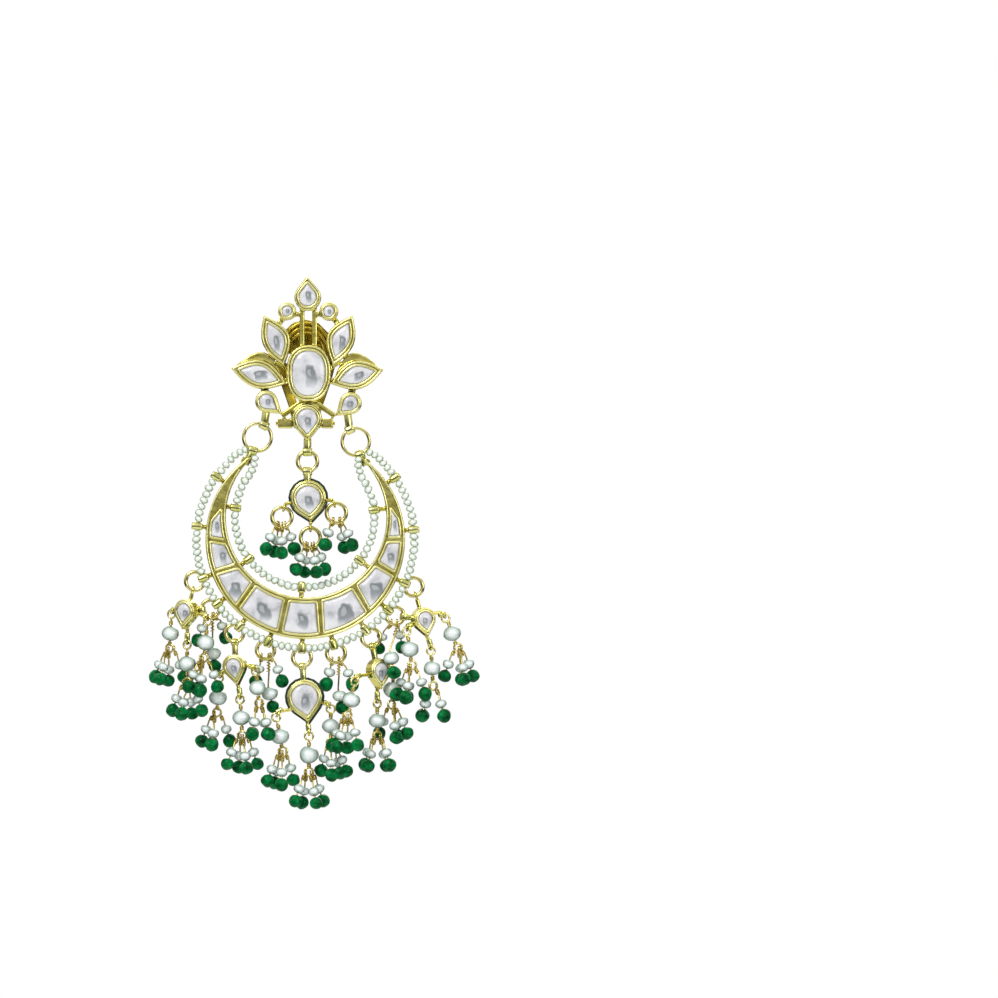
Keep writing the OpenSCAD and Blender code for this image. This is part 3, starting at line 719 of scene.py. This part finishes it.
def even_loop(points, passes):
    """The closed loop at even steps, with its corners rounded by the smoothing passes."""
    ends = points[1:] + points[:1]
    spans = [(b - a).length for a, b in zip(points, ends)]
    count = max(FEWEST_LOOP_POINTS, round(sum(spans) / (LOOP_STEP * MM)))
    step = sum(spans) / count
    found, gone = [], 0.0
    for a, b, span in zip(points, ends, spans):
        while len(found) < count and len(found) * step < gone + span:
            found.append(a.lerp(b, (len(found) * step - gone) / span))
        gone += span
    for _ in range(passes):
        found = [(found[i - 1] + found[i] * 2 + found[(i + 1) % count]) / 4 for i in range(count)]
    return found


def stone_outline(node):
    """The outline of the stone as it shows, spread over its setting's edge where SPREAD says so."""
    loop, front = girdle_loop(node)
    if node in SPREAD:
        loop = moved_along(moved_out(loop, front, SPREAD[node]), front, SPREAD_FRONT)
    return loop, front


def setting_lips(name, stones, body, rims):
    """Gold lips over the edges of the stones and, where rims is true, a raised rim outside each."""
    lips, edges = [], []
    for stone in stones:
        shown, front = stone_outline(stone)
        lip = even_loop(moved_out(shown, front, LIP_OUT), LIP_ROUNDING)
        lips.append(moved_along(lip, front, GIRDLE_BACK - LIP_BACK))
        if rims:
            girdle, _ = girdle_loop(stone)
            edge = even_loop(moved_out(girdle, front, RIM_OUT), RIM_ROUNDING)
            edges.append(moved_along(edge, front, GIRDLE_BACK - RIM_BACK))
    wire_piece(name + "_lips", lips, LIP_R, highlight_gold, body, closed=True)
    if rims:
        wire_piece(name + "_rims", edges, RIM_R, highlight_gold, body, closed=True)


def cut_stone(node, body):
    """The node's stone, with its corners rounded and its front domed softly up to a flat table."""
    loop, front = stone_outline(node)
    outline = even_loop(loop, STONE_ROUNDING)
    middle = sum(outline, Vector()) / len(outline)
    back = -front * STONE_BACK * MM
    tip_height = STONE_DOME[-1][1]
    tips = (middle + back, middle + front * tip_height * MM)
    shape = bmesh.new()
    rings = [[shape.verts.new(point + back) for point in outline]]
    for share, height in STONE_DOME:
        lift = front * height * MM
        rings.append([shape.verts.new(middle + (point - middle) * share + lift) for point in outline])
    skin(shape, rings)
    for ring, place in zip((rings[0], rings[-1]), tips):
        tip = shape.verts.new(place)
        for k in range(len(ring)):
            shape.faces.new((ring[k - 1], ring[k], tip))
    bmesh.ops.recalc_face_normals(shape, faces=shape.faces)
    mesh_piece("cut_" + node, shape, polki, body, node)


def stones_and_lips():
    settings = (
        ("crown", [f"crown_stone_{i}" for i in range(1, 12)], "crown", True),
        ("crescent", [f"crescent_stone_{i}" for i in range(1, 10)], "crescent", False),
        ("inner_drop", ["inner_drop_stone"], "inner_drop", True),
        ("pendants", [f"pendant_stone_{i}" for i in range(1, 6)], "crescent", True),
    )
    for name, stones, body, rims in settings:
        setting_lips(name, stones, body, rims)
        for stone in stones:
            cut_stone(stone, body)


def crescent_rims():
    """The raised rims along the crescent's outer and inner edge."""
    runs = []
    for rim in CRESCENT_RIMS:
        run = arc_run(*rim)
        for point in run:
            point.y = (CRESCENT_FRONT + RIM_BACK) * MM
        runs.append(run)
    wire_piece("crescent_rims", runs, RIM_R, highlight_gold, "crescent")


# Beads

# Width of the bead to that of its node's, length along the thread to its width, and depth of its dents
BeadKind = namedtuple("BeadKind", "material slot width length rough")
LARGE_PEARL = BeadKind(white_pearl, "pearls", 1.08, 0.88, 0.08)
SMALL_PEARL = BeadKind(white_pearl, "pearls", 1.1, 0.82, 0.1)
GREEN_BEAD = BeadKind(emerald, "green_beads", 1.1, 1.0, 0.12)


def add_bead(shape, middle, radius, way, length, rough, fineness):
    """A slightly uneven bead strung along way; length is its size along the thread to its width."""
    made = bmesh.ops.create_icosphere(shape, subdivisions=fineness, radius=1)["verts"]
    turn = Vector(way).to_track_quat("Z", "Y").to_matrix()
    seed = middle * BEAD_DENT_PLACE
    for vertex in made:
        dent = 1 + rough * noise.noise(vertex.co * BEAD_DENT_SCALE + seed)
        local = Vector((vertex.co.x, vertex.co.y, vertex.co.z * length)) * (radius * dent)
        vertex.co = middle + turn @ local


def natural_beads(node, body, kind, beads, ways):
    """The node's round beads, as natural ones that differ a little from each other."""
    chance = random.Random(node)
    shape = bmesh.new()
    for (middle, radius), way in zip(beads, ways):
        size = radius * kind.width * chance.uniform(*BEAD_SIZES)
        length = kind.length * chance.uniform(*BEAD_LENGTHS)
        add_bead(shape, middle, size, way, length, kind.rough, BEAD_FINENESS)
    mesh_piece("natural_" + node, shape, kind.material, body, node)


def seed_strand(node, strand):
    """Seed pearls threaded from peg to peg along the strand's arc, and on to its tails."""
    chance = random.Random(node)
    shape = bmesh.new()
    centre, radius = strand.middle, strand.radius
    gap = math.degrees(PEG_HALF / radius)
    stops = [strand.first - gap] + strand.pegs + [strand.last + gap]
    for low, high in zip(stops, stops[1:]):
        span = (high - low) - 2 * gap
        count = max(1, round(math.radians(span) * radius / SEED_PITCH))
        for i in range(count):
            angle = low + gap + span * (i + 0.5) / count
            middle = on_arc(centre, radius + chance.uniform(-SEED_STRAY, SEED_STRAY), angle)
            way = on_arc(centre, radius, angle + 1) - on_arc(centre, radius, angle - 1)
            tilt = Vector([chance.uniform(-SEED_TILT, SEED_TILT) for _ in range(3)]) * MM
            size = SEED_R * chance.uniform(*SEED_SIZES) * MM
            add_bead(shape, middle, size, way + tilt, SEED_LENGTH, SEED_ROUGH, SEED_FINENESS)
    run = arc_run(centre, radius, strand.first, strand.last)
    start, end = [[Vector((x, STRAND_Y, z)) * MM for x, z in tail]
                  for tail in (strand.first_tail, strand.last_tail)]
    for tail, arc_end in ((start, run[0]), (end, run[-1])):
        for middle, inner in zip(tail, [arc_end] + tail):
            size = SEED_R * chance.uniform(*TAIL_SIZES) * MM
            add_bead(shape, middle, size, middle - inner, SEED_LENGTH, SEED_ROUGH, SEED_FINENESS)
    mesh_piece("seeds_of_" + node, shape, seed_pearl, "crescent", node)
    run = start[::-1] + run + end
    wire_piece("thread_of_" + node, [run], THREAD_R, thread, "crescent")


def peg_sleeves():
    """The tubes on the pegs that the strands are threaded through."""
    shape = bmesh.new()
    for strand in STRANDS.values():
        for angle in strand.pegs:
            inner = on_arc(strand.middle, strand.radius - SLEEVE_OUT, angle)
            outer = on_arc(strand.middle, strand.radius + SLEEVE_OUT, angle)
            sleeve(shape, inner, outer, SLEEVE_R)
    mesh_piece("peg_sleeves", shape, pale_gold, "crescent")


# Fringe and sprays

def pin_ways(pearls):
    """The way of the eye pin through each pearl of the fringe, upwards."""
    pins = loose_parts("fringe_pins")
    ways = []
    for middle, _ in pearls:
        upper = top_of(min(pins, key=lambda part: nearest(part, middle)), PIN_TOP)
        upper.y = middle.y
        ways.append((upper - middle).normalized())
    return ways


def pearl_collars(pearls, ways):
    """Wire wound round each eye pin above and below its pearl."""
    runs = []
    for (middle, radius), way in zip(pearls, ways):
        for side in (-1, 1):
            start = middle + way * side * (radius - COLLAR_SUNK * MM)
            runs.append(coil(start, start + way * side * COLLAR_LENGTH * MM))
    wire_piece("pearl_collars", runs, WRAP_WIRE, coil_gold, "crescent")


def fanned(beads, sprays, reach):
    """The beads of the sprays, the outer ones a little higher than the inner, none before a pendant."""
    found = []
    for middle, radius in beads:
        low, high = corners(min(sprays, key=lambda part: nearest(part, middle)))
        aside = abs(middle.x - (low.x + high.x) / 2) / (reach * MM)
        place = middle + Vector((0, 0, FAN_LIFT * (min(aside, FAN_MOST) - FAN_LEVEL))) * MM
        for (x, z), size in PENDANTS:
            past = place.x / MM - x
            clear = size + PENDANT_CLEAR
            if place.y < PENDANT_Y * MM and abs(place.z / MM - z) < size and abs(past) < clear:
                place.x = (x + math.copysign(clear, past)) * MM
        found.append((place, radius))
    return found


def strung_ways(beads, others):
    """The way of the thread through each bead, towards the bead of the other kind beside it."""
    ways = []
    for middle, radius in beads:
        mate = min(others, key=lambda o: abs((o[0] - middle).length - radius - o[1] - BEAD_GAP * MM)
                   + abs(o[0].x - middle.x) + abs(o[0].y - middle.y))
        ways.append((mate[0] - middle).normalized())
    return ways


def wire_eye(middle):
    """A wire's own eye, once round the ring's wire at middle and down to its front."""
    found = []
    for i in range(EYE_STEPS + 1):
        angle = math.radians(EYE_FIRST + i * EYE_TURN / EYE_STEPS)
        found.append(middle + Vector((0, math.sin(angle), math.cos(angle))) * EYE_R * MM)
    return found


def spray_wires(wires, pearls, ways, sprays, body):
    """Head pins of each spray, looped on its ring and wound round themselves."""
    chance = random.Random(wires)
    pins, coils = [], []
    for (middle, radius), way in zip(pearls, ways):
        part = min(sprays, key=lambda p: nearest(p, middle))
        ring = top_of(part, HUB_TOP)
        ring.z = highest(part) - HUB_DROP * MM
        out = Vector((way.x, way.y, 0)).normalized()
        aside = out.x * EYE_SPREAD + chance.uniform(-EYE_STRAY, EYE_STRAY)
        eye = ring + Vector((aside, 0, 0)) * MM
        eye.z += (eye.x - ring.x) ** 2 / (HUB_CURVE * MM)
        start = eye + Vector((out.x * SHANK_OUT[0], out.y * SHANK_OUT[1], -EYE_R - SHANK_DROP)) * MM
        bend = middle - way * (radius + BEND_ABOVE * MM)
        bow = start.lerp(bend, 0.5) + out * SHANK_BOW * MM
        end = middle + way * (radius + (BEAD_GAP + GREEN_R) * MM)
        pins.append(wire_eye(eye) + [start, bow, bend, end])
        coils.append(coil(start, start.lerp(bend, WRAP_SHARE)))
    wire_piece("pins_of_" + wires, pins, PIN_R, coil_gold, body, wires)
    wire_piece("coils_of_" + wires, coils, WRAP_WIRE, coil_gold, body)


def spray(wires, seeds, greens, body):
    """Seed pearls, green beads and head pins of the sprays in these three nodes."""
    sprays = loose_parts(wires)
    pearls = fanned(balls(seeds), sprays, PEARL_REACH)
    stones = fanned(balls(greens), sprays, GREEN_REACH)
    ways = strung_ways(pearls, stones)
    natural_beads(seeds, body, SMALL_PEARL, pearls, ways)
    natural_beads(greens, body, GREEN_BEAD, stones, strung_ways(stones, pearls))
    spray_wires(wires, pearls, ways, sprays, body)


def large_pearls():
    pearls = balls("fringe_pearls")
    ways = pin_ways(pearls)
    natural_beads("fringe_pearls", "crescent", LARGE_PEARL, pearls, ways)
    pearl_collars(pearls, ways)


# Straps, bails and the clip's ribs

def pendant_straps():
    """A strap from each pendant to its ring, and a tube at the end of each arm."""
    rings = balls("fringe_rings")
    shape = bmesh.new()
    mids = [Vector((x, PENDANT_Y, z)) * MM for (x, z), _ in PENDANTS]
    for middle, (_, size) in zip(mids, PENDANTS):
        above = [ring for ring in rings if ring[0].z > middle.z]
        centre, outer = min(above, key=lambda ring: (ring[0] - middle).length)
        down = (middle - centre).normalized()
        head = centre + down * (outer - RING_WIRE * MM)
        along = down.cross(Vector((0, 1, 0))) * STRAP_HEAD * MM / 2
        sleeve(shape, head - along, head + along, STRAP_HEAD_R)
        sleeve(shape, head, middle - down * (size - STRAP_SUNK) * MM, STRAP_R)
    for part in loose_parts("fringe_pins"):
        end = top_of(part, ARM_TOP)
        middle = min(mids, key=lambda mid: (mid - end).length)
        sleeve(shape, end, end + (middle - end).normalized() * ARM_TUBE * MM, ARM_TUBE_R)
    mesh_piece("pendant_straps", shape, pale_gold, "crescent")


def bail_straps():
    """The straps round the three large rings."""
    for body, bails in BAILS.items():
        shape = bmesh.new()
        for middle, radius, place, neck_angle, neck in bails:
            at = on_arc(middle, radius, place)
            ahead = on_arc(middle, radius, place + 1) - at
            turn = math.radians(neck_angle)
            at.y = BAIL_Y * MM
            along = ahead.normalized() * BAIL_HEAD * MM / 2
            foot = at + Vector((math.sin(turn), 0, -math.cos(turn))) * neck * MM
            sleeve(shape, at - along, at + along, BAIL_HEAD_R)
            sleeve(shape, at, foot, BAIL_R)
        mesh_piece(body + "_bails", shape, pale_gold, body)


def on_pad(x, z):
    """The place in X and Z on the front of the clip's pad."""
    return Vector((x, CLIP_PAD_Y - max(0, z - CLIP_BEND_Z) * CLIP_LEAN, z)) * MM


def clip_ribs():
    """Rounded ribs on the front of the clip's pad."""
    x, z = CLIP_PAD_MID
    width, height = CLIP_PAD_HALF
    angles = [math.radians(RIB_FIRST + RIB_TURN * i / RIB_STEPS) for i in range(RIB_STEPS + 1)]
    runs = []
    for share in RIB_ARCS:
        runs.append([on_pad(x + width * share * math.cos(angle), z + height * share * math.sin(angle))
                     for angle in angles])
    for bar in RIB_BARS:
        runs.append([on_pad(x + bar, z + up) for up in RIB_BAR_HEIGHTS])
    wire_piece("clip_ribs", runs, RIB_R, findings_gold, "clip")


# Dressing

def material_of(node):
    if "stone" in node:
        return polki
    if "enamel" in node:
        return dark_enamel
    if node == "clip_lever":
        return shaded_gold
    if node in ("ear_post", "clip_hinge_pin"):
        return findings_gold
    if "_frame" in node:
        return yellow_gold
    return wire_gold


def dress_nodes():
    for name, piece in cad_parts.items():
        piece.data.materials.clear()
        piece.data.materials.append(material_of(name))
    for name, how in WORN_FRAMES.items():
        round_worn_edges(name, *how)
    for name, distance in THICKER.items():
        thicken(name, distance)


def beads_and_wires():
    large_pearls()
    spray("inner_drop_wires", "inner_drop_pearls", "inner_drop_emeralds", "inner_drop")
    for side in ("left", "right"):
        spray("fringe_wires_" + side, "fringe_seeds_" + side, "fringe_emeralds_" + side, "crescent")
    for name, strand in STRANDS.items():
        seed_strand(name, strand)


# Studio

def studio_world():
    """White to the camera, and bands of light and dark to all that reflects them."""
    world = bpy.data.worlds.new("studio")
    world.use_nodes = True
    scene.world = world
    tree = world.node_tree
    shine = tree.nodes["Background"]
    place = add_node(tree, "ShaderNodeTexCoord")
    split = add_node(tree, "ShaderNodeSeparateXYZ")
    tree.links.new(place.outputs["Generated"], split.inputs["Vector"])
    height = add_node(tree, "ShaderNodeMapRange")
    set_inputs(tree, height, {"Value": split.outputs["Z"], "From Min": -1, "From Max": 1})
    stops = [(level, (bright, bright, bright)) for level, bright in STUDIO_BANDS]
    tree.links.new(ramp(tree, height.outputs["Result"], stops), shine.inputs["Color"])
    backdrop = add_node(tree, "ShaderNodeBackground")
    backdrop.inputs["Color"].default_value = (1, 1, 1, 1)
    path = add_node(tree, "ShaderNodeLightPath")
    mix = add_node(tree, "ShaderNodeMixShader")
    set_inputs(tree, mix, {
        "Fac": path.outputs["Is Camera Ray"],
        1: shine.outputs["Background"],
        2: backdrop.outputs["Background"],
    })
    tree.links.new(mix.outputs["Shader"], tree.nodes["World Output"].inputs["Surface"])


def area_light(name, place, aim, size, power):
    data = bpy.data.lights.new(name, "AREA")
    data.size = size
    data.energy = power
    light = bpy.data.objects.new(name, data)
    scene.collection.objects.link(light)
    light.location = place
    light.rotation_euler = (aim - place).to_track_quat("-Z", "Y").to_euler()


def studio():
    low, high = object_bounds()
    middle = (low + high) / 2
    bpy.ops.mesh.primitive_plane_add(size=FLOOR_SIZE, location=(0, 0, low.z - FLOOR_DROP))
    floor = bpy.context.object
    floor.name = "floor"
    floor.data.materials.append(pale_floor)
    floor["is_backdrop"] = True
    studio_world()
    for name, (offset, size, power) in LIGHTS.items():
        area_light(name, middle + Vector(offset), middle, size, power)


def camera():
    data = bpy.data.cameras.new("camera")
    data.sensor_width = SENSOR
    data.lens = SENSOR * abs(CAMERA_AT.y) / IMAGE_WIDTH
    data.clip_start = NEAR_CLIP
    data.clip_end = FAR_CLIP
    made = bpy.data.objects.new("camera", data)
    scene.collection.objects.link(made)
    made.location = CAMERA_AT
    made.rotation_euler = (math.pi / 2, 0, 0)
    scene.camera = made


camera()
dress_nodes()
stones_and_lips()
crescent_rims()
beads_and_wires()
peg_sleeves()
pendant_straps()
bail_straps()
clip_ribs()
studio()
scene.view_settings.view_transform = "Standard"
